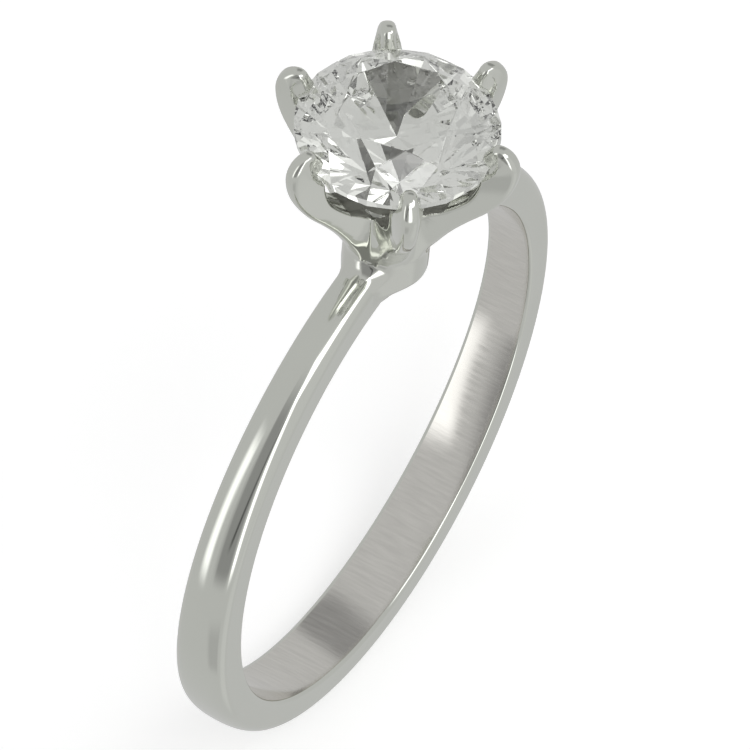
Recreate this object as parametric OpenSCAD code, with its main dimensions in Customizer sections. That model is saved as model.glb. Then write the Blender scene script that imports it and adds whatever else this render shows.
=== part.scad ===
// Six-claw solitaire ring: a tapering half-round shank, a head base let into
// the top of the shank, six separate claws and a round brilliant stone.
// Frame: origin at the centre of the finger bore, +Y along the finger,
// +Z from the finger centre to the stone, +X across the hand. Millimetres.

/* [Shank] */
// Inside radius of the ring (finger bore)
bore_r = 8.25; // [7.4:0.05:9.6]
// Width of the shank along the finger, at the palm side
shank_w_palm = 2.10; // [1.8:0.05:2.6]
// Width of the shank along the finger, at the head
shank_w_head = 1.25; // [1.1:0.05:1.6]
// Thickness of the shank at the palm side
shank_t_palm = 1.22; // [1.0:0.02:1.6]
// Thickness of the shank at the head
shank_t_head = 1.35; // [1.25:0.05:1.5]
// Share of the thickness that is flat side wall, below the dome
side_wall = 0.65; // [0.4:0.05:0.75]

/* [Head] */
// Radius of the round head base
base_r = 1.28; // [1.2:0.02:1.4]
// Height of the girdle's middle above the finger bore's wall
girdle_rise = 6.20; // [6.0:0.05:6.6]
// Turn of the whole head about its own axis, away from square to the shank
head_turn = 7.2; // [0:0.1:12]
// Number of claws
claws = 6; // [6:1:6]

/* [Stone] */
// Diameter of the round brilliant at its girdle
stone_d = 5.95; // [5.8:0.05:6.05]
// Table diameter, corner to corner, as a share of the girdle diameter
table_share = 0.57; // [0.53:0.01:0.62]
// Crown height as a share of the girdle diameter
crown_share = 0.15; // [0.13:0.005:0.165]
// Pavilion depth as a share of the girdle diameter
pavilion_share = 0.431; // [0.41:0.001:0.44]
// Girdle thickness at its thick places
girdle_t = 0.24; // [0.16:0.01:0.26]

/* [Solder] */
// Reach of the solder fillet from the head base along the shank
fillet_r = 0.52; // [0.45:0.01:0.55]

/* [Hidden] */

$fn = 96;
metal = [0.72, 0.725, 0.70];
metal_head = [0.76, 0.765, 0.74];
solder = [0.66, 0.66, 0.63];
gem = [0.93, 0.95, 0.96, 0.65];

stone_r = stone_d / 2;
girdle_z = bore_r + girdle_rise;
girdle_top = girdle_z + girdle_t / 2;
girdle_low = girdle_z - girdle_t / 2;
table_r = stone_r * table_share;
table_z = girdle_top + stone_d * crown_share;
culet_z = girdle_low - stone_d * pavilion_share;

// ---------------------------------------------------------------- shank
// The angle th runs round the finger from the palm side, where it is 0.
stations = 96;
function ease(th) = (1 - cos(th)) / 2;
function band_w(th) = shank_w_palm + (shank_w_head - shank_w_palm) * ease(th);
function band_t(th) = shank_t_palm + (shank_t_head - shank_t_palm) * ease(th);

// Half-round section: flat walls up to side_wall, then a full dome.
dome_steps = 12;
dome_pow = 0.8;
function signed_pow(v, p) = sign(v) * pow(abs(v), p);
function section(w, t) = concat(
    [[-w / 2, -0.5]],
    [for (i = [0 : dome_steps])
        let (a = 180 - 180 * i / dome_steps)
        [w / 2 * signed_pow(cos(a), dome_pow),
         t * side_wall + t * (1 - side_wall) * pow(max(sin(a), 0), dome_pow)]],
    [[w / 2, -0.5]]);
sec_n = dome_steps + 3;
function ring_point(p, th) =
    let (r = bore_r + p[1]) [r * sin(th), p[0], -r * cos(th)];

module band_blank() {
    pts = [for (k = [0 : stations - 1])
        let (th = 360 * k / stations)
        for (p = section(band_w(th), band_t(th))) ring_point(p, th)];
    tris = [for (k = [0 : stations - 1], i = [0 : sec_n - 1])
        let (a = k * sec_n + i,
             b = k * sec_n + (i + 1) % sec_n,
             c = ((k + 1) % stations) * sec_n + (i + 1) % sec_n,
             d = ((k + 1) % stations) * sec_n + i)
        each [[a, c, b], [a, d, c]]];
    polyhedron(points = pts, faces = tris, convexity = 8);
}

module finger_bore() {
    rotate([90, 0, 0]) cylinder(r = bore_r, h = 12, center = true, $fn = 180);
}

module shank() color(metal)
    difference() {
        band_blank();
        finger_bore();
        // seat for the head base
        translate([0, 0, bore_r - 2]) cylinder(r = base_r, h = 5);
    }

// ------------------------------------------------------------ head base
foot_z = bore_r + 0.30;
rim_z = bore_r + 3.75;
cup_r = 0.85;

module base_turning() {
    rotate_extrude()
        polygon([[0, foot_z], [base_r - 0.28, foot_z],
                 [base_r - 0.13, foot_z + 0.05], [base_r - 0.04, foot_z + 0.14],
                 [base_r, foot_z + 0.28], [base_r, rim_z],
                 [cup_r, rim_z - 0.12], [0.45, rim_z - 0.75], [0, rim_z - 0.95]]);
}

// Tongue that fills the gap in the shank, flush with the finger bore.
module tongue() {
    difference() {
        intersection() {
            translate([0, 0, bore_r - 1]) cylinder(r = base_r, h = 2);
            translate([-3, -shank_w_head / 2, bore_r - 1]) cube([6, shank_w_head, 2]);
        }
        finger_bore();
    }
}

module head_base() color(metal_head)
    union() {
        base_turning();
        tongue();
    }

// -------------------------------------------------------- solder fillets
neck_z = bore_r + 1.67;
fillet_w = 0.94;
function fillet_curve(n) = [for (i = [0 : n])
    let (a = 90 * i / n)
    [base_r - 0.06 + fillet_r * (1 - cos(a)), neck_z - fillet_r * sin(a)]];

module fillet_blank() {
    translate([0, fillet_w / 2, 0]) rotate([90, 0, 0]) linear_extrude(height = fillet_w)
        polygon(concat([[base_r - 0.5, bore_r + 0.7], [base_r - 0.5, neck_z]],
                       fillet_curve(8),
                       [[base_r + fillet_r - 0.06, bore_r + 0.7]]));
}

module solder_fillets() color(solder)
    for (s = [0, 1])
        rotate([0, 0, 180 * s])
            difference() {
                fillet_blank();
                band_blank();
                translate([0, 0, bore_r]) cylinder(r = base_r, h = 4);
            }

// ----------------------------------------------------------------- claws
// Side view of one claw: outer spine and inner edge, as [radius, height
// above the girdle's middle], from the foot up and over the crown.
spine = [[1.24, -4.52], [1.40, -4.30], [1.58, -4.03], [1.86, -3.53],
         [2.18, -3.03], [2.58, -2.50], [3.00, -1.98], [3.33, -1.48],
         [3.58, -1.00], [3.73, -0.55], [3.80, -0.15], [3.80, 0.12],
         [3.74, 0.38], [3.58, 0.64], [3.36, 0.79], [3.14, 0.83],
         [2.97, 0.77], [2.87, 0.65]];
inner = [[1.05, -4.15], [1.08, -3.70], [1.10, -3.20], [1.12, -2.70],
         [1.30, -2.38], [1.75, -2.10], [2.12, -1.74], [2.42, -1.36],
         [2.60, -0.96], [2.70, -0.58], [2.74, -0.30], [2.76, -0.12],
         [2.76, 0.00], [2.74, 0.10], [2.73, 0.18], [2.72, 0.24],
         [2.71, 0.30], [2.70, 0.36]];
// Half width of the claw at each of those stations
half_w = [0.66, 0.65, 0.64, 0.60, 0.56, 0.53, 0.50, 0.48,
          0.47, 0.46, 0.45, 0.44, 0.42, 0.38, 0.33, 0.29,
          0.25, 0.21];
// Cross-section, from the spine (0) to the inner edge (1), and its share
// of the half width
blade = [[0, 0], [0, 0.30], [0.03, 0.46], [0.10, 0.63], [0.22, 0.80],
         [0.40, 0.94], [0.65, 1], [0.90, 0.97], [1, 0.80]];
blade_n = 2 * len(blade) - 1;
function blade_ring(k) =
    let (o = spine[k], q = inner[k], w = half_w[k])
    concat([for (b = blade)
                [o[0] + (q[0] - o[0]) * b[0], w * b[1],
                 girdle_z + o[1] + (q[1] - o[1]) * b[0]]],
           [for (i = [len(blade) - 1 : -1 : 1])
                let (b = blade[i])
                [o[0] + (q[0] - o[0]) * b[0], -w * b[1],
                 girdle_z + o[1] + (q[1] - o[1]) * b[0]]]);

module claw_blank() {
    n = len(spine);
    pts = [for (k = [0 : n - 1]) for (p = blade_ring(k)) p];
    walls = [for (k = [0 : n - 2], i = [0 : blade_n - 1])
        let (a = k * blade_n + i, b = k * blade_n + (i + 1) % blade_n,
             c = b + blade_n, d = a + blade_n)
        each [[a, c, b], [a, d, c]]];
    foot = [for (i = [1 : blade_n - 2]) [0, i, i + 1]];
    tip = [for (i = [1 : blade_n - 2])
        [(n - 1) * blade_n, (n - 1) * blade_n + i + 1, (n - 1) * blade_n + i]];
    polyhedron(points = pts, faces = concat(walls, foot, tip), convexity = 6);
}

// Room for the stone: its turned outline, a hair larger
module stone_room() {
    g = 0.01;
    rotate_extrude($fn = 120)
        polygon([[0, culet_z - 1.15 * g], [stone_r + g, girdle_low - 0.5 * g],
                 [stone_r + g, girdle_top + 1.2 * g], [table_r, table_z + 1.5 * g],
                 [0, table_z + 1.5 * g]]);
}

// One sixth of the turn, so that neighbouring claws meet on flat faces
module sector() {
    half = 180 / claws;
    linear_extrude(height = 40, center = true)
        polygon([[0, 0], [9, -9 * tan(half)], [9, 9 * tan(half)]]);
}

module claw(i) color(metal_head)
    rotate([0, 0, head_turn + 30 + 60 * i])
        difference() {
            intersection() {
                claw_blank();
                sector();
            }
            translate([0, 0, bore_r]) cylinder(r = base_r, h = 5);
            stone_room();
        }

module claw_1() claw(0);
module claw_2() claw(1);
module claw_3() claw(2);
module claw_4() claw(3);
module claw_5() claw(4);
module claw_6() claw(5);

// ---------------------------------------------------------- centre stone
// A round brilliant with its 57 facets: table, eight stars, eight kites,
// sixteen upper halves, sixteen lower halves and eight pavilion mains.
// Each point lies where its facets' planes meet, so every facet is flat.
crown_h = table_z - girdle_top;
pav_h = girdle_low - culet_z;
tan_main = crown_h / (stone_r - table_r);
table_apothem = table_r * cos(22.5);
star_r = table_apothem + 0.5 * (stone_r - table_apothem);
star_z = girdle_top + (stone_r - star_r * cos(22.5)) * tan_main;
tan_half = (star_z - girdle_top) / ((stone_r - star_r) * cos(11.25));
tan_pav = pav_h / stone_r;
lower_r = 0.23 * stone_r;
lower_z = culet_z + lower_r * cos(22.5) * tan_pav;
tan_lower = (girdle_low - lower_z) / ((stone_r - lower_r) * cos(11.25));
// The girdle is thin where a half facet bites deepest
bite = stone_r * (1 - cos(11.25));
function polar(r, a, z) = [r * cos(a), r * sin(a), z];
function girdle_up(j) = girdle_top - (j % 2) * bite * tan_half;
function girdle_dn(j) = girdle_low + (j % 2) * bite * tan_lower;

module brilliant() {
    pts = concat(
        [for (k = [0 : 7]) polar(table_r, 45 * k, table_z)],
        [for (k = [0 : 7]) polar(star_r, 45 * k + 22.5, star_z)],
        [for (j = [0 : 31]) polar(stone_r, 11.25 * j, girdle_up(j))],
        [for (j = [0 : 31]) polar(stone_r, 11.25 * j, girdle_dn(j))],
        [for (k = [0 : 7]) polar(lower_r, 45 * k + 22.5, lower_z)],
        [[0, 0, culet_z]]);
    faces = concat(
        [[7, 6, 5, 4, 3, 2, 1, 0]],
        [for (k = [0 : 7]) let (m = (k + 1) % 8) [k, m, 8 + k]],
        [for (k = [0 : 7]) let (m = (k + 7) % 8)
            [k, 8 + k, 16 + 4 * k, 8 + m]],
        [for (k = [0 : 7], h = [0, 2]) let (g = 4 * k + h)
            [8 + k, 16 + (g + 2) % 32, 16 + (g + 1) % 32, 16 + g]],
        [for (j = [0 : 31]) let (n = (j + 1) % 32)
            [16 + j, 16 + n, 48 + n, 48 + j]],
        [for (k = [0 : 7], h = [0, 2]) let (g = 4 * k + h)
            [80 + k, 48 + g, 48 + (g + 1) % 32, 48 + (g + 2) % 32]],
        [for (k = [0 : 7]) let (m = (k + 7) % 8)
            [88, 80 + m, 48 + 4 * k, 80 + k]]);
    polyhedron(points = pts, faces = faces, convexity = 2);
}

// A corner of the table points at the first claw
module centre_stone() color(gem)
    rotate([0, 0, head_turn + 30]) brilliant();

shank();
head_base();
solder_fillets();
claw_1();
claw_2();
claw_3();
claw_4();
claw_5();
claw_6();
centre_stone();
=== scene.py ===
"""Six-claw solitaire ring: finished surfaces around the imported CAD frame.

Lengths in the shape code are millimetres; meshes are scaled to metres last.
"""

import math

import bmesh
import bpy
import numpy as np
from mathutils import Matrix, Vector


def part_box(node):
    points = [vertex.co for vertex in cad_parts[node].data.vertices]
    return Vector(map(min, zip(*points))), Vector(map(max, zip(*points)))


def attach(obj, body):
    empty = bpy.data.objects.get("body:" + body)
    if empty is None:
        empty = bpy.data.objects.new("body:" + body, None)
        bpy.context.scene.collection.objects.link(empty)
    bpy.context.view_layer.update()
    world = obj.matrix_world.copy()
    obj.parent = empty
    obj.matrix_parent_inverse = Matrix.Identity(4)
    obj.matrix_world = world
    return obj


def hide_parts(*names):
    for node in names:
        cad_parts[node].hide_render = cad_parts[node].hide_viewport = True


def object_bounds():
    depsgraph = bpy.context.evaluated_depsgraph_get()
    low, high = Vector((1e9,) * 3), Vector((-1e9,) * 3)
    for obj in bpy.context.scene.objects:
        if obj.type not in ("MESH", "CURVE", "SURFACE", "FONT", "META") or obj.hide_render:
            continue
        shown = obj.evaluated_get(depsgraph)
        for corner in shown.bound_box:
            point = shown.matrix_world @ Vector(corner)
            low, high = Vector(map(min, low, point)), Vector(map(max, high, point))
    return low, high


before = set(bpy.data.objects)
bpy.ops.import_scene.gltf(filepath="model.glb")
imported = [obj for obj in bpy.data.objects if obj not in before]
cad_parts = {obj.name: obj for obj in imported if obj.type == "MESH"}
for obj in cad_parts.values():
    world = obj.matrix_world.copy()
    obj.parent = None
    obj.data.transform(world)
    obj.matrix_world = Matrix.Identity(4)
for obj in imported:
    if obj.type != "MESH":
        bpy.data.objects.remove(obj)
cad_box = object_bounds()

MM = 0.001
rad = math.radians

# ------------------------------------------------------------------ sizes
BORE_R = 8.25
W_PALM, W_HEAD = 2.10, 1.25        # band width at the palm and at the head
T_PALM, T_HEAD = 1.22, 1.35        # band thickness there
SIDE = 0.65                        # share of the thickness that is upright side wall
DOME = 0.80                        # roundness of the band's crown
EDGE = 0.12                        # rounding of the bore's two edges
EASE, LEAN = 0.030, 0.010          # the bore is eased towards its edges, one more than the other
BASE_R = 1.28                      # setting's round base
FOOT_Z, RIM_Z = 8.55, 12.0
SPLIT_Z = 9.93                     # claws are brazed on above this height
TURN = 7.2                         # the setting is turned this much about +Z
GIRDLE_Z = 14.45
STONE_R, GIRDLE_T = 2.975, 0.24
TABLE_SHARE, CROWN_SHARE, PAV_SHARE = 0.57, 0.15, 0.431


# ----------------------------------------------------------- mesh helpers
def new_object(name, verts, faces, normals=None, flat=None, mats=(), face_mat=None, uv=None):
    """An object from millimetre points. normals: one per point, used on the
    smooth faces. flat: one flag per face, for faces that keep their own normal."""
    me = bpy.data.meshes.new(name)
    me.from_pydata((np.asarray(verts, float) * MM).tolist(), [], [list(map(int, f)) for f in faces])
    n = len(me.polygons)
    flat = np.zeros(n, bool) if flat is None else np.asarray(flat, bool)
    me.polygons.foreach_set("use_smooth", ~flat)
    if uv is not None:
        layer = me.uv_layers.new(name="surface")
        loops = np.zeros(len(me.loops), np.int32)
        me.loops.foreach_get("vertex_index", loops)
        layer.data.foreach_set("uv", np.asarray(uv, np.float32)[loops].ravel())
    for m in mats:
        me.materials.append(m)
    if face_mat is not None:
        me.polygons.foreach_set("material_index", np.asarray(face_mat, np.int32))
    me.update()
    if normals is not None:
        loops = np.zeros(len(me.loops), np.int32)
        me.loops.foreach_get("vertex_index", loops)
        ln = np.asarray(normals, float)[loops]
        if flat.any():
            fn = np.zeros(n * 3)
            me.polygons.foreach_get("normal", fn)
            fn = fn.reshape(-1, 3)
            tot = np.zeros(n, np.int32)
            me.polygons.foreach_get("loop_total", tot)
            of = np.repeat(np.arange(n), tot)
            ln = np.where(flat[of][:, None], fn[of], ln)
        me.normals_split_custom_set(ln.tolist())
    ob = bpy.data.objects.new(name, me)
    bpy.context.scene.collection.objects.link(ob)
    return ob


def curve_through(points, per):
    """A smooth curve through the points (centripetal Catmull-Rom), per steps a span."""
    p = np.asarray(points, float)
    p = np.vstack([2 * p[0] - p[1], p, 2 * p[-1] - p[-2]])
    out = []
    for i in range(1, len(p) - 2):
        p0, p1, p2, p3 = p[i - 1], p[i], p[i + 1], p[i + 2]
        t0 = 0.0
        t1 = t0 + np.linalg.norm(p1 - p0) ** 0.5
        t2 = t1 + np.linalg.norm(p2 - p1) ** 0.5
        t3 = t2 + np.linalg.norm(p3 - p2) ** 0.5
        for t in np.linspace(t1, t2, per, endpoint=False):
            a1 = (t1 - t) / (t1 - t0) * p0 + (t - t0) / (t1 - t0) * p1
            a2 = (t2 - t) / (t2 - t1) * p1 + (t - t1) / (t2 - t1) * p2
            a3 = (t3 - t) / (t3 - t2) * p2 + (t - t2) / (t3 - t2) * p3
            b1 = (t2 - t) / (t2 - t0) * a1 + (t - t0) / (t2 - t0) * a2
            b2 = (t3 - t) / (t3 - t1) * a2 + (t - t1) / (t3 - t1) * a3
            out.append((t2 - t) / (t2 - t1) * b1 + (t - t1) / (t2 - t1) * b2)
    out.append(p[-2])
    return np.array(out)


def polyline_distance(q, line):
    """Distance from each point to an open polyline, and the nearest place along it (0 to 1)."""
    best = np.full(len(q), 1e9)
    where = np.zeros(len(q))
    seg = len(line) - 1
    for i in range(seg):
        a, b = line[i], line[i + 1]
        d = b - a
        t = np.clip(((q - a) @ d) / (d @ d), 0, 1)
        r = np.linalg.norm(q - (a + t[:, None] * d), axis=1)
        m = r < best
        best = np.where(m, r, best)
        where = np.where(m, (i + t) / seg, where)
    return best, where


def inside(q, poly):
    res = np.zeros(len(q), bool)
    for i in range(len(poly)):
        (x1, y1), (x2, y2) = poly[i - 1], poly[i]
        c = (y1 > q[:, 1]) != (y2 > q[:, 1])
        if c.any():
            xc = (x2 - x1) * (q[:, 1] - y1) / (y2 - y1 + 1e-30) + x1
            res ^= c & (q[:, 0] < xc)
    return res


class Table:
    """A function of two coordinates, sampled on a fine grid."""

    def __init__(self, x0, x1, z0, z1, step, fn):
        self.x0, self.z0, self.h = x0, z0, step
        xs = np.arange(x0, x1 + step, step)
        zs = np.arange(z0, z1 + step, step)
        X, Z = np.meshgrid(xs, zs, indexing="ij")
        self.v = [f.reshape(X.shape) for f in fn(np.stack([X.ravel(), Z.ravel()], 1))]

    def __call__(self, x, z):
        nx, nz = self.v[0].shape
        u = np.clip((x - self.x0) / self.h, 0, nx - 1.001)
        w = np.clip((z - self.z0) / self.h, 0, nz - 1.001)
        i, j = u.astype(int), w.astype(int)
        u, w = u - i, w - j
        return [f[i, j] * (1 - u) * (1 - w) + f[i + 1, j] * u * (1 - w)
                + f[i, j + 1] * (1 - u) * w + f[i + 1, j + 1] * u * w for f in self.v]


def smin(a, b, k):
    h = np.maximum(k - np.abs(a - b), 0) / k
    return np.minimum(a, b) - h * h * k * 0.25


def smax(a, b, k):
    return -smin(-a, -b, k)


def surface_net(field, lo, hi, step):
    """Quads along the zero of field(points) in the box lo..hi, pulled onto it."""
    ax = [np.arange(lo[i], hi[i] + step, step) for i in range(3)]
    G = np.stack(np.meshgrid(*ax, indexing="ij"), -1)
    shape = G.shape[:3]
    F = field(G.reshape(-1, 3)).reshape(shape)
    S = F < 0
    n = [s - 1 for s in shape]
    pos = np.zeros((*n, 3))
    cnt = np.zeros(n, int)
    corners = [(i, j, k) for i in (0, 1) for j in (0, 1) for k in (0, 1)]

    def cut(c):
        return tuple(slice(c[a], c[a] + n[a]) for a in range(3))
    for a in corners:
        for axis in range(3):
            if a[axis]:
                continue
            b = tuple(v + (1 if i == axis else 0) for i, v in enumerate(a))
            fa, fb = F[cut(a)], F[cut(b)]
            m = (fa < 0) != (fb < 0)
            t = np.where(m, fa / np.where(m, fa - fb, 1), 0)
            p = np.zeros((*n, 3))
            for i in range(3):
                p[..., i] = a[i] + (t if i == axis else 0)
            pos += np.where(m[..., None], p, 0)
            cnt += m
    used = cnt > 0
    index = -np.ones(n, int)
    index[used] = np.arange(used.sum())
    base = np.argwhere(used)
    V = (base + pos[used] / cnt[used][:, None]) * step + np.array([a[0] for a in ax])
    quads = []
    for axis in range(3):
        u, v = (axis + 1) % 3, (axis + 2) % 3
        s0 = [slice(None)] * 3
        s1 = [slice(None)] * 3
        s0[axis], s1[axis] = slice(0, -1), slice(1, None)
        A, B = S[tuple(s0)], S[tuple(s1)]
        for flip in (False, True):
            e = np.argwhere((B & ~A) if flip else (A & ~B))
            e = e[(e[:, u] > 0) & (e[:, v] > 0) & (e[:, u] < shape[u] - 1) & (e[:, v] < shape[v] - 1)]
            def cell(du, dv):
                c = e.copy()
                c[:, u] -= du
                c[:, v] -= dv
                return index[c[:, 0], c[:, 1], c[:, 2]]
            q = np.stack([cell(1, 1), cell(0, 1), cell(0, 0), cell(1, 0)], 1)
            quads.append(q[:, ::-1] if flip else q)
    Q = np.concatenate(quads)
    for _ in range(3):
        V = pull(field, V, step)
    return V, Q


def gradient(field, V, e=0.02):
    g = np.zeros_like(V)
    for i in range(3):
        d = np.zeros(3)
        d[i] = e
        g[:, i] = (field(V + d) - field(V - d)) / (2 * e)
    return g


def pull(field, V, limit):
    g = gradient(field, V, 0.008)
    s = field(V)[:, None] * g / np.maximum((g * g).sum(1, keepdims=True), 0.05)
    size = np.linalg.norm(s, axis=1, keepdims=True)
    return V - s * np.minimum(1, 0.5 * limit / np.maximum(size, 1e-12))


def cut_and_cap(V, Q, planes):
    """Cuts a closed mesh with planes (point, normal): what is on the normal's
    side goes, and each cut is closed. Returns points, faces, cap flags."""
    bm = bmesh.new()
    vs = [bm.verts.new(v) for v in V]
    for q in Q:
        bm.faces.new([vs[i] for i in q])
    cap = bm.faces.layers.int.new("cap")
    for co, no in planes:
        geom = bm.verts[:] + bm.edges[:] + bm.faces[:]
        r = bmesh.ops.bisect_plane(bm, geom=geom, dist=1e-6, plane_co=co, plane_no=no, clear_outer=True)
        edges = [e for e in r["geom_cut"] if isinstance(e, bmesh.types.BMEdge) and e.is_boundary]
        filled = bmesh.ops.triangle_fill(bm, use_beauty=True, use_dissolve=False, edges=edges, normal=no)
        for f in filled["geom"]:
            if isinstance(f, bmesh.types.BMFace):
                f[cap] = 1
    bmesh.ops.remove_doubles(bm, verts=bm.verts[:], dist=2e-4)
    loose = [v for v in bm.verts if not v.link_faces]
    bmesh.ops.delete(bm, geom=loose, context="VERTS")
    bmesh.ops.recalc_face_normals(bm, faces=bm.faces[:])
    bm.verts.index_update()
    out = (np.array([v.co[:] for v in bm.verts]), [[v.index for v in f.verts] for f in bm.faces],
           np.array([f[cap] for f in bm.faces], bool))
    bm.free()
    return out


def turned(V, degrees):
    c, s = math.cos(rad(degrees)), math.sin(rad(degrees))
    return np.stack([c * V[:, 0] - s * V[:, 1], s * V[:, 0] + c * V[:, 1], V[:, 2]], 1)


# -------------------------------------------------------------- materials
class Tree:
    """Short forms for building a node tree."""

    def __init__(self, tree):
        self.t = tree
        tree.nodes.clear()

    def node(self, kind, **props):
        n = self.t.nodes.new(kind)
        for k, v in props.items():
            setattr(n, k, v)
        return n

    def put(self, socket, value):
        if isinstance(value, bpy.types.NodeSocket):
            self.t.links.new(value, socket)
        elif value is not None:
            socket.default_value = value

    def math(self, op, a, b=None, c=None):
        n = self.node("ShaderNodeMath", operation=op)
        for i, v in enumerate((a, b, c)):
            self.put(n.inputs[i], v)
        return n.outputs[0]

    def ramp(self, value, a, b, to0=0.0, to1=1.0, smooth=True):
        n = self.node("ShaderNodeMapRange", interpolation_type="SMOOTHSTEP" if smooth else "LINEAR")
        self.put(n.inputs["Value"], value)
        n.inputs["From Min"].default_value = a
        n.inputs["From Max"].default_value = b
        n.inputs["To Min"].default_value = to0
        n.inputs["To Max"].default_value = to1
        return n.outputs["Result"]

    def window(self, value, a, b, soft_a, soft_b):
        """1 between a and b, fading to 0 over soft_a below and soft_b above."""
        return self.math("MULTIPLY", self.ramp(value, a - soft_a, a), self.ramp(value, b, b + soft_b, 1.0, 0.0))


def metal(name, base, rough, scratch=None, grain=(900, 0.02), bump=0.006, uv=False, streak=0.0):
    """Polished white metal: fine polishing lines and a faint unevenness in
    the shine. scratch: how much finer the lines lie across than along, per axis."""
    m = bpy.data.materials.new(name)
    m.use_nodes = True
    t = Tree(m.node_tree)
    out = t.node("ShaderNodeOutputMaterial")
    bsdf = t.node("ShaderNodeBsdfPrincipled")
    t.t.links.new(bsdf.outputs[0], out.inputs["Surface"])
    bsdf.inputs["Metallic"].default_value = 1.0
    coord = t.node("ShaderNodeTexCoord")
    source = coord.outputs["UV" if uv else "Object"]
    mapping = t.node("ShaderNodeMapping")
    t.put(mapping.inputs["Vector"], source)
    mapping.inputs["Scale"].default_value = scratch or (1, 1, 1)
    lines = t.node("ShaderNodeTexNoise", noise_dimensions="3D")
    t.put(lines.inputs["Vector"], mapping.outputs[0])
    lines.inputs["Scale"].default_value = grain[0]
    lines.inputs["Detail"].default_value = 3.0
    cloud = t.node("ShaderNodeTexNoise", noise_dimensions="3D")
    t.put(cloud.inputs["Vector"], coord.outputs["Object"])
    cloud.inputs["Scale"].default_value = 420.0
    cloud.inputs["Detail"].default_value = 2.0
    fine = t.ramp(lines.outputs["Fac"], 0.30, 0.70, -grain[1], grain[1], smooth=False)
    wide = t.ramp(cloud.outputs["Fac"], 0.30, 0.70, rough - 0.25 * rough, rough + 0.25 * rough, smooth=False)
    t.put(bsdf.inputs["Roughness"], t.math("MAXIMUM", t.math("ADD", fine, wide), 0.02))
    tint = t.node("ShaderNodeMix", data_type="RGBA")
    t.put(tint.inputs["Factor"], t.ramp(lines.outputs["Fac"], 0.34, 0.66, 0.0, 1.0, smooth=False) if streak else cloud.outputs["Fac"])
    spread = streak or 0.025
    tint.inputs["A"].default_value = (*[c * (1 - spread) for c in base], 1)
    tint.inputs["B"].default_value = (*[min(1, c * (1 + spread)) for c in base], 1)
    t.put(bsdf.inputs["Base Color"], tint.outputs["Result"])
    b = t.node("ShaderNodeBump")
    b.inputs["Strength"].default_value = 1.0
    b.inputs["Distance"].default_value = bump * MM
    t.put(b.inputs["Height"], lines.outputs["Fac"])
    t.put(bsdf.inputs["Normal"], b.outputs[0])
    return m


WHITE_METAL = (0.755, 0.770, 0.715)
shank_metal = metal("shank_polish", WHITE_METAL, 0.085, scratch=(0.25, 6.0, 1.0), grain=(1.0, 0.012), bump=0.0005, uv=True)
bore_metal = metal("bore_satin", (0.768, 0.753, 0.712), 0.13, scratch=(8.0, 0.9, 1.0), grain=(1.0, 0.035), bump=0.0016, uv=True, streak=0.05)
head_metal = metal("head_polish", WHITE_METAL, 0.075, scratch=(1.0, 1.0, 0.25), grain=(3500, 0.012), bump=0.0005)
# seat metal: the higher roughness is the unpolished finish, and the dark base colour is painted shade for the faces
# under the stone
seat_shade_metal = metal("seat_unpolished_painted_shade", (0.30, 0.30, 0.275), 0.34, scratch=(1, 1, 1), grain=(1800, 0.05), bump=0.002)
solder_metal = metal("solder_polish", (0.750, 0.760, 0.710), 0.095, scratch=(1, 1, 1), grain=(2600, 0.02), bump=0.001)


def stone_material():
    m = bpy.data.materials.new("stone_glass")
    m.use_nodes = True
    t = Tree(m.node_tree)
    out = t.node("ShaderNodeOutputMaterial")
    bsdf = t.node("ShaderNodeBsdfPrincipled")
    t.t.links.new(bsdf.outputs[0], out.inputs["Surface"])
    bsdf.inputs["Base Color"].default_value = (1.0, 1.0, 0.995, 1)
    bsdf.inputs["Transmission Weight"].default_value = 1.0
    bsdf.inputs["IOR"].default_value = 2.16
    bsdf.inputs["Roughness"].default_value = 0.0
    return m


stone_glass = stone_material()


# ------------------------------------------------------------------ shank
def band_profile(theta, a):
    """Crown of the band: angle theta from the palm, a from 180 to 0 degrees."""
    ease = (1 - np.cos(theta)) / 2
    w = W_PALM + (W_HEAD - W_PALM) * ease
    t = T_PALM + (T_HEAD - T_PALM) * ease
    c, s = np.cos(a), np.maximum(np.sin(a), 0)
    return w / 2 * np.sign(c) * np.abs(c) ** DOME, BORE_R + t * SIDE + t * (1 - SIDE) * s ** DOME


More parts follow.
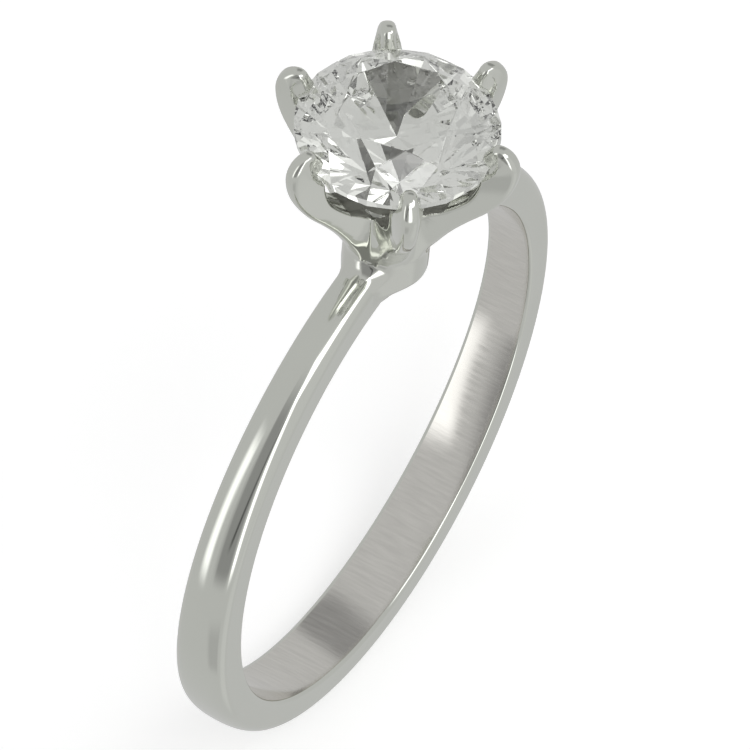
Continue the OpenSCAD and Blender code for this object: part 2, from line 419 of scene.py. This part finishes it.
def make_shank():
    """Swept band. Its two ends are hollowed to fit the setting's round base."""
    N = 420
    u = np.linspace(-1, 1, N + 1)
    # columns across: side wall, crown, side wall; then the bore wall back
    a = np.radians(180 - 180 * (0.5 - 0.5 * np.cos(np.linspace(0, math.pi, 41))))
    edge, ease_in, lean = EDGE, EASE, LEAN
    cols = []
    corner = np.radians(np.linspace(0, 90, 5))
    for c in corner:                       # rounded inner edge, -Y side
        cols.append(("edge", -1, edge * (1 - math.sin(c)), edge * (1 - math.cos(c))))
    for f in (0.25, 0.5, 0.75):
        cols.append(("wall", -1, f, 0))
    for x in a:
        cols.append(("crown", 0, x, 0))
    for f in (0.75, 0.5, 0.25):
        cols.append(("wall", 1, f, 0))
    for c in corner[::-1]:
        cols.append(("edge", 1, edge * (1 - math.sin(c)), edge * (1 - math.cos(c))))
    inner = 13
    for f in np.linspace(1, -1, inner + 2)[1:-1]:
        cols.append(("bore", 0, f, 0))
    M = len(cols)

    def place(col, theta):
        kind, side, p, q = col
        ease = (1 - np.cos(theta)) / 2
        w = W_PALM + (W_HEAD - W_PALM) * ease
        t = T_PALM + (T_HEAD - T_PALM) * ease
        if kind == "crown":
            return band_profile(theta, p)
        if kind == "wall":
            return side * w / 2, BORE_R + edge + (t * SIDE - edge) * p
        if kind == "edge":
            rise = ease_in + lean * side
            return side * (w / 2 - p), BORE_R + rise + q * (edge - rise) / edge
        return p * (w / 2 - edge), BORE_R + (ease_in * p + lean) * p + 0 * theta
    P = np.zeros((N + 1, M, 3))
    yr = np.zeros((N + 1, M, 2))
    TH = np.zeros((N + 1, M))
    for j, col in enumerate(cols):
        end = math.pi - 0.15
        for _ in range(12):
            y, r = place(col, np.array(end))
            end = math.pi - math.asin(math.sqrt(max(BASE_R ** 2 - float(y) ** 2, 0)) / float(r))
        th = u * end
        y, r = place(col, th)
        P[:, j] = np.stack([r * np.sin(th), y + 0 * th, -r * np.cos(th)], 1)
        yr[:, j, 0], yr[:, j, 1] = y, r
        TH[:, j] = th
    verts = P.reshape(-1, 3)
    faces, fm, flat = [], [], []
    bore_from = M - inner
    for i in range(N):
        for j in range(M):
            k = (j + 1) % M
            faces.append([i * M + j, i * M + k, (i + 1) * M + k, (i + 1) * M + j])
            in_bore = j >= bore_from - 1 or k == 0
            fm.append(1 if in_bore else 0)
            flat.append(False)
    for i, flip in ((0, True), (N, False)):
        f = [i * M + j for j in range(M)]
        faces.append(f if not flip else f[::-1])
        fm.append(0)
        flat.append(True)
    # smooth normals from the sweep itself
    du = np.gradient(P, axis=0)
    dv = (np.roll(P, -1, 1) - np.roll(P, 1, 1))
    n = np.cross(dv, du)
    n /= np.linalg.norm(n, axis=-1, keepdims=True) + 1e-12
    radial = np.stack([np.sin(TH), 0 * TH, -np.cos(TH)], -1)
    for j, col in enumerate(cols):
        if col[0] == "bore":
            half = (W_PALM + (W_HEAD - W_PALM) * (1 - np.cos(TH[:, j])) / 2) / 2 - edge
            n[:, j] = -radial[:, j]
            n[:, j, 1] += (2 * ease_in * col[2] + lean) / half
            n[:, j] /= np.linalg.norm(n[:, j], axis=-1, keepdims=True)
        elif col[0] == "wall":
            # the wall leans only as much as the band's taper makes it
            g = np.cross(radial[:, j], du[:, j])
            g /= np.linalg.norm(g, axis=-1, keepdims=True)
            n[:, j] = g * np.sign(g[:, 1:2]) * col[1]
        elif col[0] == "edge":
            ang = 0.1 + (math.pi / 2 - 0.1) * math.asin(min(1, 1 - col[2] / edge)) / (math.pi / 2)
            wallward = np.zeros_like(radial[:, j])
            wallward[:, 1] = col[1]
            n[:, j] = wallward * math.sin(ang) - radial[:, j] * math.cos(ang)
    mid = n[N // 2, 5 + 3 + 20]
    if mid @ radial[N // 2, 5 + 3 + 20] < 0:
        for j, col in enumerate(cols):
            if col[0] == "crown":
                n[:, j] *= -1
    arc = np.concatenate([[0], np.cumsum(np.linalg.norm(np.diff(P[N // 2], axis=0), axis=1))])
    uvs = np.stack([TH * 9.0, np.broadcast_to(arc, TH.shape)], -1).reshape(-1, 2)
    ob = new_object("shank_band", verts, faces, n.reshape(-1, 3), flat, (shank_metal, bore_metal), fm, uvs)
    bm = bmesh.new()
    bm.from_mesh(ob.data)
    vol = bm.calc_volume(signed=True)
    bm.free()
    if vol < 0:
        ob.data.flip_normals()
    return ob


# ------------------------------------------------------------------- head
SPINE = np.array([[1.24, -4.52], [1.40, -4.30], [1.58, -4.03], [1.86, -3.53],
                  [2.18, -3.03], [2.58, -2.50], [3.00, -1.98], [3.33, -1.48],
                  [3.58, -1.00], [3.73, -0.55], [3.80, -0.15], [3.80, 0.12],
                  [3.74, 0.38], [3.58, 0.64], [3.36, 0.79], [3.14, 0.83],
                  [2.97, 0.77], [2.87, 0.65]])
INNER = np.array([[1.05, -4.15], [1.08, -3.70], [1.10, -3.20], [1.12, -2.70],
                  [1.30, -2.38], [1.75, -2.10], [2.12, -1.74], [2.42, -1.36],
                  [2.60, -0.96], [2.70, -0.58], [2.74, -0.30], [2.76, -0.12],
                  [2.76, 0.00], [2.74, 0.10], [2.73, 0.18], [2.72, 0.24],
                  [2.71, 0.30], [2.70, 0.36]])
# half width of the claw's outer face, and how much it widens inwards, at
# places along the spine from foot (0) to tip (1)
ALONG = np.array([0.0, 0.118, 0.176, 0.235, 0.294, 0.353, 0.412, 0.53, 0.65, 0.765, 0.88, 1.0])
NOSE = np.array([0.33, 0.30, 0.28, 0.26, 0.24, 0.23, 0.22, 0.215, 0.21, 0.20, 0.185, 0.165])
SPREAD = np.array([0.60, 0.50, 0.38, 0.33, 0.30, 0.28, 0.27, 0.27, 0.25, 0.21, 0.16, 0.12])


def claw_side(q):
    """Side view: distance to the claw's outline, and its half width there."""
    foot = np.array([[0.3, -5.4], [0.75, -5.0]])
    spine = curve_through(np.vstack([foot[1:], SPINE]), 6)
    inner = curve_through(INNER, 6)
    root = np.array([[0.3, inner[0][1] + 0.4], [0.3, spine[0][1]]])
    p = q - np.array([0, GIRDLE_Z])
    poly = np.vstack([spine, inner[::-1], root])
    d, _ = polyline_distance(p, np.vstack([poly, poly[:1]]))
    d = np.where(inside(p, poly), -d, d)
    ds, s = polyline_distance(p, curve_through(SPINE, 6))
    depth = np.where(d < 0, ds, -ds)
    w = np.interp(s, ALONG, NOSE) + np.interp(s, ALONG, SPREAD) * np.clip(depth, -0.2, 2.4)
    w += 0.035 * np.sin(math.pi * np.clip(depth / 1.3, 0, 1))
    return d, np.minimum(w, 0.86)


def base_side(q):
    """Turned outline of the setting's base."""
    a = np.radians(np.linspace(-90, 0, 9))
    foot = np.stack([BASE_R - 0.26 + 0.26 * np.cos(a), FOOT_Z + 0.26 + 0.26 * np.sin(a)], 1)
    poly = np.vstack([[-1.0, FOOT_Z], foot, [BASE_R, RIM_Z - 0.08], [BASE_R - 0.06, RIM_Z], [BASE_R - 0.12, RIM_Z],
                      [0.85, RIM_Z - 0.12], [0.45, RIM_Z - 0.75], [0.0, RIM_Z - 0.95], [-1.0, RIM_Z - 0.95]])
    d, _ = polyline_distance(q, np.vstack([poly, poly[:1]]))
    return (np.where(inside(q, poly), -d, d),)


side_table = Table(0.2, 4.4, 8.4, 16.0, 0.0125, claw_side)
base_table = Table(0.0, 4.4, 8.4, 16.0, 0.0125, base_side)

TABLE_R = STONE_R * TABLE_SHARE
TABLE_Z = GIRDLE_Z + GIRDLE_T / 2 + 2 * STONE_R * CROWN_SHARE
CULET_Z = GIRDLE_Z - GIRDLE_T / 2 - 2 * STONE_R * PAV_SHARE


def stone_distance(r, z):
    """The stone's turned outline."""
    top, low = GIRDLE_Z + GIRDLE_T / 2, GIRDLE_Z - GIRDLE_T / 2
    ch, cw = TABLE_Z - top, STONE_R - TABLE_R
    ph, pw = low - CULET_Z, STONE_R
    crown = ((r - STONE_R) * ch + (z - top) * cw) / math.hypot(ch, cw)
    pav = ((r - STONE_R) * ph - (z - low) * pw) / math.hypot(ph, pw)
    return np.maximum(np.maximum(crown, pav), np.maximum(r - STONE_R, z - TABLE_Z))


def one_claw(x, y, z):
    d, w = side_table(x, z)
    return smax(d + 0.8 * np.minimum(y * y, 0.09), (np.abs(y) - w) / 1.035, 0.11)


def head_field(P, cups=True):
    """Distance to the setting, with a claw along +X and one every 60 degrees."""
    r = np.hypot(P[:, 0], P[:, 1])
    phi = np.abs((np.arctan2(P[:, 1], P[:, 0]) + math.pi / 6) % (math.pi / 3) - math.pi / 6)
    z = P[:, 2]
    near = one_claw(r * np.cos(phi), r * np.sin(phi), z)
    far = one_claw(r * np.cos(math.pi / 3 - phi), r * np.sin(math.pi / 3 - phi), z)
    claws = smin(near, far, 0.08)
    d = smin(claws, base_table(r, z)[0], 0.28)
    return smax(d, -(stone_distance(r, z) - 0.010), 0.012)


def shaded_seat_faces(V, F):
    """1 for each face that looks at the stone's pavilion. These faces get a dark base colour, which is painted shade
    under the stone.
    """
    out = []
    for f in F:
        p = V[f[:3]]
        c = V[f].mean(0)
        n = np.cross(p[1] - p[0], p[2] - p[0])
        r = math.hypot(c[0], c[1])
        ahead = -(n[0] * c[0] + n[1] * c[1]) / (r + 1e-9) + 0.6 * n[2]
        near = stone_distance(np.array([r]), np.array([c[2]]))[0]
        out.append(int(c[2] < GIRDLE_Z - 0.25 and r < 1.9 and near < 0.9 and ahead > 0.25 * np.linalg.norm(n)))
    return out


def make_claws():
    step = 0.045
    c, s = math.cos(rad(30)), math.sin(rad(30))

    def field(P):
        x, y, z = P.T
        return np.maximum(np.maximum(head_field(P), 0.90 - x), np.maximum(c * np.abs(y) - s * x - 0.10, SPLIT_Z - 0.12 - z))
    V, Q = surface_net(field, (0.55, -27.5 * step, 9.6), (4.05, 27.5 * step, 15.6), step)
    V, F, cap = cut_and_cap(V, Q, [((0, 0, 0), (-s, c, 0)), ((0, 0, 0), (-s, -c, 0)),
                                   ((1.05, 0, 0), (-1, 0, 0)), ((0, 0, SPLIT_Z), (0, 0, -1))])
    n = gradient(head_field, V)
    n /= np.linalg.norm(n, axis=1, keepdims=True) + 1e-12
    # faces that look at the pavilion get the darkened seat metal: painted shade under the stone
    seat_shade = shaded_seat_faces(V, F)
    out = []
    for i in range(6):
        a = TURN + 30 + 60 * i
        ob = new_object(f"claw_{i + 1}_blade", turned(V, a), F, turned(n, a), cap, (head_metal, seat_shade_metal), seat_shade)
        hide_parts(f"claw_{i + 1}")
        out.append(ob)
    return out


def make_base():
    """Round base with its tongue between the shank's ends, and the core."""
    t = rad(-TURN - 30)

    def field(P):
        q = turned(P, -TURN - 30)
        d = head_field(q)
        p = np.clip(P[:, 1] / (W_HEAD / 2 - EDGE), -1.2, 1.2)
        floor = BORE_R + (EASE * p + LEAN) * p
        tongue = smax(smax(np.abs(P[:, 1]) - W_HEAD / 2, floor - np.hypot(P[:, 0], P[:, 2]), 0.20),
                      np.maximum(np.hypot(P[:, 0], P[:, 1]) - BASE_R, P[:, 2] - 9.4), 0.02)
        return smin(d, tongue, 0.08)
    step = 0.045
    V, Q = surface_net(field, (-2.0, -2.0, 7.9), (2.0, 2.0, 10.1), step)
    V, F, cap = cut_and_cap(V, Q, [((0, 0, SPLIT_Z), (0, 0, 1))])
    n = gradient(field, V)
    n /= np.linalg.norm(n, axis=1, keepdims=True) + 1e-12
    # six-sided core up to the cupped rim
    k = 1.05 / math.cos(rad(30))
    rings = [(k, SPLIT_Z), (k, RIM_Z - 0.06), (0.85, RIM_Z - 0.12), (0.45, RIM_Z - 0.75), (0.12, RIM_Z - 0.93)]
    cv, cf = [], []
    for r, z in rings:
        for i in range(6):
            a = rad(TURN + 60 * i)
            cv.append((r * math.cos(a), r * math.sin(a), z))
    for j in range(len(rings) - 1):
        for i in range(6):
            m = (i + 1) % 6
            cf.append([j * 6 + i, j * 6 + m, (j + 1) * 6 + m, (j + 1) * 6 + i])
    cf.append([5, 4, 3, 2, 1, 0])
    cf.append([24 + i for i in range(6)])
    off = len(V)
    verts = np.vstack([V, cv])
    faces = list(F) + [[off + i for i in f] for f in cf]
    flat = np.concatenate([cap, np.ones(len(cf), bool)])
    norms = np.vstack([n, np.tile([0, 0, 1.0], (len(cv), 1))])
    # the cup inside the core and its floor get the darkened seat metal: painted shade under the stone
    seat_shade = [0] * len(F) + [int(6 <= j < 24) for j in range(len(cf))]
    seat_shade[-1] = 1
    ob = new_object("head_base_collet", verts, faces, norms, flat, (head_metal, seat_shade_metal), seat_shade)
    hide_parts("head_base")
    return ob


def band_section(q):
    """Section of the band under the setting: distance to its outline, from (|y|, r)."""
    y, r = band_profile(np.full(61, math.pi), np.radians(np.linspace(90, 0, 61)))
    poly = np.vstack([[-0.5, BORE_R], [-0.5, r[0]], np.stack([y, r], 1), [W_HEAD / 2, BORE_R]])
    d, _ = polyline_distance(q, poly)
    return (np.where(inside(q, poly), -d, d),)


section_table = Table(0.0, 2.2, 8.0, 11.0, 0.01, band_section)


def band_field(P):
    ease = (1 + np.abs(P[:, 2]) / np.hypot(P[:, 0], P[:, 2])) / 2
    w = W_PALM + (W_HEAD - W_PALM) * ease
    t = T_PALM + (T_HEAD - T_PALM) * ease
    r = BORE_R + (np.hypot(P[:, 0], P[:, 2]) - BORE_R) * T_HEAD / t
    return section_table(np.abs(P[:, 1]) * W_HEAD / w, r)[0]


def make_fillets():
    """Solder run into the corner where each end of the band meets the base."""
    k = 0.62

    def outer(P):
        return smin(band_field(P), head_field(turned(P, -TURN - 30)), k)

    def field(P):
        a, b = band_field(P), head_field(turned(P, -TURN - 30))
        blend = smin(a, b, k) + 0.004
        ends = np.maximum(0.47 - np.abs(P[:, 0]), 8.37 - P[:, 2])
        return np.maximum(np.maximum(np.maximum(blend, np.abs(a - b) - 0.93 * k), ends), -(np.minimum(a, b) + 0.10))
    obs = []
    for name, lo, hi in (("solder_fillet_minus_x", -2.6, -0.4), ("solder_fillet_plus_x", 0.4, 2.6)):
        V, Q = surface_net(field, (lo, -1.5, 8.3), (hi, 1.5, 10.6), 0.035)
        V, F, cap = cut_and_cap(V, Q, [])
        n = gradient(outer, V)
        n /= np.linalg.norm(n, axis=1, keepdims=True) + 1e-12
        ob = new_object(name, V, F, n, cap, (solder_metal,))
        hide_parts("solder_fillets")
        obs.append(ob)
    return obs


# ------------------------------------------------------------------ stone
def make_stone():
    """Round brilliant: every facet is a flat face of its own."""
    def polar(r, a, z):
        return (r * math.cos(rad(a)), r * math.sin(rad(a)), z)
    top, low = GIRDLE_Z + GIRDLE_T / 2, GIRDLE_Z - GIRDLE_T / 2
    c22, c11 = math.cos(rad(22.5)), math.cos(rad(11.25))
    tan_main = (TABLE_Z - top) / (STONE_R - TABLE_R)
    apothem = TABLE_R * c22
    star_r = apothem + 0.5 * (STONE_R - apothem)
    star_z = top + (STONE_R - star_r * c22) * tan_main
    tan_half = (star_z - top) / ((STONE_R - star_r) * c11)
    tan_pav = (low - CULET_Z) / STONE_R
    low_r = 0.23 * STONE_R
    low_z = CULET_Z + low_r * c22 * tan_pav
    tan_low = (low - low_z) / ((STONE_R - low_r) * c11)
    bite = STONE_R * (1 - c11)
    v = [polar(TABLE_R, 45 * k, TABLE_Z) for k in range(8)]
    v += [polar(star_r, 45 * k + 22.5, star_z) for k in range(8)]
    v += [polar(STONE_R, 11.25 * j, top - (j % 2) * bite * tan_half) for j in range(32)]
    v += [polar(STONE_R, 11.25 * j, low + (j % 2) * bite * tan_low) for j in range(32)]
    v += [polar(low_r, 45 * k + 22.5, low_z) for k in range(8)]
    v += [(0, 0, CULET_Z)]
    f = [[0, 1, 2, 3, 4, 5, 6, 7]]
    f += [[8 + k, (k + 1) % 8, k] for k in range(8)]
    f += [[8 + (k + 7) % 8, 16 + 4 * k, 8 + k, k] for k in range(8)]
    for k in range(8):
        for h in (0, 2):
            g = 4 * k + h
            f.append([16 + g, 16 + (g + 1) % 32, 16 + (g + 2) % 32, 8 + k])
    f += [[48 + j, 48 + (j + 1) % 32, 16 + (j + 1) % 32, 16 + j] for j in range(32)]
    for k in range(8):
        for h in (0, 2):
            g = 4 * k + h
            f.append([48 + (g + 2) % 32, 48 + (g + 1) % 32, 48 + g, 80 + k])
    f += [[80 + k, 48 + 4 * k, 80 + (k + 7) % 8, 88] for k in range(8)]
    V = turned(np.array(v), TURN + 30)     # a table corner points at the first claw
    ob = new_object("brilliant_stone", V, f, None, np.ones(len(f), bool), (stone_glass,))
    bm = bmesh.new()
    bm.from_mesh(ob.data)
    # the polished edges of the crown are a hair blunt
    edges = [e for e in bm.edges if min(v.co.z for v in e.verts) > (top + 0.01) * MM]
    bmesh.ops.bevel(bm, geom=edges, offset=0.018 * MM, offset_type="OFFSET", segments=1, profile=0.5,
                    affect="EDGES", clamp_overlap=True)
    bmesh.ops.recalc_face_normals(bm, faces=bm.faces[:])
    bm.to_mesh(ob.data)
    bm.free()
    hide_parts("centre_stone")
    return ob


# ------------------------------------------------------------------ build
shank = make_shank()
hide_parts("shank")
claws = make_claws()
base = make_base()
fillets = make_fillets()
stone = make_stone()
for ob in [shank, base, *claws]:
    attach(ob, "root")
for ob in fillets:
    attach(ob, "root")
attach(stone, "root")


# ------------------------------------------------------------------ stage
def make_floor():
    z = cad_box[0][2] if hasattr(cad_box[0], "__len__") else min(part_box("shank")[0].z, 0)
    me = bpy.data.meshes.new("studio_floor")
    s = 3.0
    me.from_pydata([(-s, -s, z), (s, -s, z), (s, s, z), (-s, s, z)], [], [(0, 1, 2, 3)])
    ob = bpy.data.objects.new("studio_floor", me)
    bpy.context.scene.collection.objects.link(ob)
    m = bpy.data.materials.new("floor_white")
    m.use_nodes = True
    t = Tree(m.node_tree)
    out = t.node("ShaderNodeOutputMaterial")
    bsdf = t.node("ShaderNodeBsdfPrincipled")
    t.t.links.new(bsdf.outputs[0], out.inputs["Surface"])
    bsdf.inputs["Base Color"].default_value = (0.9, 0.9, 0.9, 1)
    bsdf.inputs["Roughness"].default_value = 0.9
    bsdf.inputs["Specular IOR Level"].default_value = 0.0
    bsdf.inputs["Emission Color"].default_value = (1, 1, 1, 1)
    bsdf.inputs["Emission Strength"].default_value = 0.42
    me.materials.append(m)
    ob.visible_glossy = False
    ob.visible_transmission = False
    return ob


def make_world():
    """Soft white studio: a pale tent with three softboxes and a dim opening
    where the camera looks in. Directions are azimuth (0 is -Y, 90 is +X) and
    elevation in degrees."""
    w = bpy.data.worlds.new("studio")
    bpy.context.scene.world = w
    w.use_nodes = True
    t = Tree(w.node_tree)
    out = t.node("ShaderNodeOutputWorld")
    bg = t.node("ShaderNodeBackground")
    coord = t.node("ShaderNodeTexCoord")
    sep = t.node("ShaderNodeSeparateXYZ")
    t.put(sep.inputs[0], coord.outputs["Generated"])
    az = t.math("MULTIPLY", t.math("ARCTAN2", sep.outputs[0], t.math("MULTIPLY", sep.outputs[1], -1.0)), 180 / math.pi)
    el = t.math("MULTIPLY", t.math("ARCSINE", sep.outputs[2]), 180 / math.pi)

    def patch(a0, a1, sa0, sa1, e0, e1, se0, se1):
        return t.math("MULTIPLY", t.window(az, a0, a1, sa0, sa1), t.window(el, e0, e1, se0, se1))
    def tent(level, dimmed, boxes, streak):
        value = t.math("ADD", level, 0.0)
        dim = patch(-100, -70, 7, 12, -12, 44, 10, 26)
        value = t.math("SUBTRACT", value, t.math("MULTIPLY", dim, dimmed))
        if streak:
            line_at = t.math("ADD", t.math("MULTIPLY", el, 0.604), -84.8)
            off = t.math("ABSOLUTE", t.math("SUBTRACT", az, line_at))
            dark = t.math("MULTIPLY", t.ramp(off, 0.5, 5.5, 1.0, 0.0), t.window(el, 2, 44, 8, 5))
            value = t.math("MULTIPLY", value, t.math("SUBTRACT", 1.0, t.math("MULTIPLY", dark, streak)))
        for strength, p in boxes:
            value = t.math("ADD", value, t.math("MULTIPLY", p, strength))
        return value
    top = patch(-50, 32, 6, 8, 48, 66, 5, 4)
    strip = patch(-54, -45, 4, 9, -12, 52, 12, 6)
    left = patch(-119, -113, 13, 3, -12, 26, 14, 16)
    disc = patch(-34, 20, 4, 10, -20, 42, 8, 8)
    behind = patch(92, 122, 14, 14, 32, 46, 8, 14)
    # below the horizon: the table, darker beside the ring and lighter in front
    shade = patch(-88, -58, 14, 12, -56, -44, 7, 12)
    glow = patch(-16, 14, 22, 20, -64, -36, 16, 16)
    metal_sees = tent(0.575, 0.27, [(1.3, top), (1.2, strip), (0.85, left), (0.05, disc), (-0.26, behind),
                                    (-0.10, shade), (0.07, glow)], 0.72)
    # what reaches the stone's facets: a front light, and the dark under the setting
    front = patch(-12, 34, 8, 10, 6, 44, 8, 8)
    window = patch(-6, 14, 3, 3, 12, 30, 3, 3)
    corner = patch(128, 150, 4, 4, 48, 66, 4, 4)
    spark = patch(38, 50, 3, 3, 44, 56, 3, 3)
    under = t.ramp(el, -52, -24, 1.0, 0.0)
    stone_sees = tent(0.58, 0.14, [(0.30, front), (1.6, window), (0.8, corner), (1.3, spark), (-0.42, under)], 0.0)
    light = t.node("ShaderNodeLightPath")
    gem = t.node("ShaderNodeMix", data_type="FLOAT")
    t.put(gem.inputs["Factor"], light.outputs["Is Transmission Ray"])
    t.put(gem.inputs["A"], metal_sees)
    t.put(gem.inputs["B"], stone_sees)
    seen = t.node("ShaderNodeMix", data_type="FLOAT")
    t.put(seen.inputs["Factor"], light.outputs["Is Camera Ray"])
    t.put(seen.inputs["A"], gem.outputs["Result"])
    seen.inputs["B"].default_value = 1.0
    t.put(bg.inputs["Strength"], seen.outputs["Result"])
    tint = t.node("ShaderNodeMix", data_type="RGBA")
    t.put(tint.inputs["Factor"], light.outputs["Is Transmission Ray"])
    tint.inputs["A"].default_value = (1, 1, 1, 1)
    tint.inputs["B"].default_value = (0.985, 1.0, 0.955, 1)
    t.put(bg.inputs["Color"], tint.outputs["Result"])
    t.t.links.new(bg.outputs[0], out.inputs["Surface"])


def make_camera():
    """The photographed view: long lens, above and to the front left."""
    a, e, roll = rad(-62.4683), rad(50.807), rad(5.6081)
    back = Vector((math.sin(a) * math.cos(e), -math.cos(a) * math.cos(e), math.sin(e)))
    right = Vector((math.cos(a), math.sin(a), 0))
    up = back.cross(right)
    r = right * math.cos(roll) + up * math.sin(roll)
    u = up * math.cos(roll) - right * math.sin(roll)
    cam = bpy.data.cameras.new("camera")
    cam.sensor_width = 36
    cam.lens = 6559.79 * 36 / 750
    cam.clip_start, cam.clip_end = 0.01, 20
    ob = bpy.data.objects.new("camera", cam)
    bpy.context.scene.collection.objects.link(ob)
    m = Matrix((r, u, back)).transposed().to_4x4()
    m.translation = (back * 198.196 + r * 0.2511 + u * 2.0663) * MM
    ob.matrix_world = m
    bpy.context.scene.camera = ob


make_camera()
make_world()
make_floor()
scene = bpy.context.scene
scene.view_settings.view_transform = "Standard"
# light crosses the stone many times before it leaves
scene.cycles.max_bounces = 32
scene.cycles.glossy_bounces = 24
scene.cycles.transmission_bounces = 24
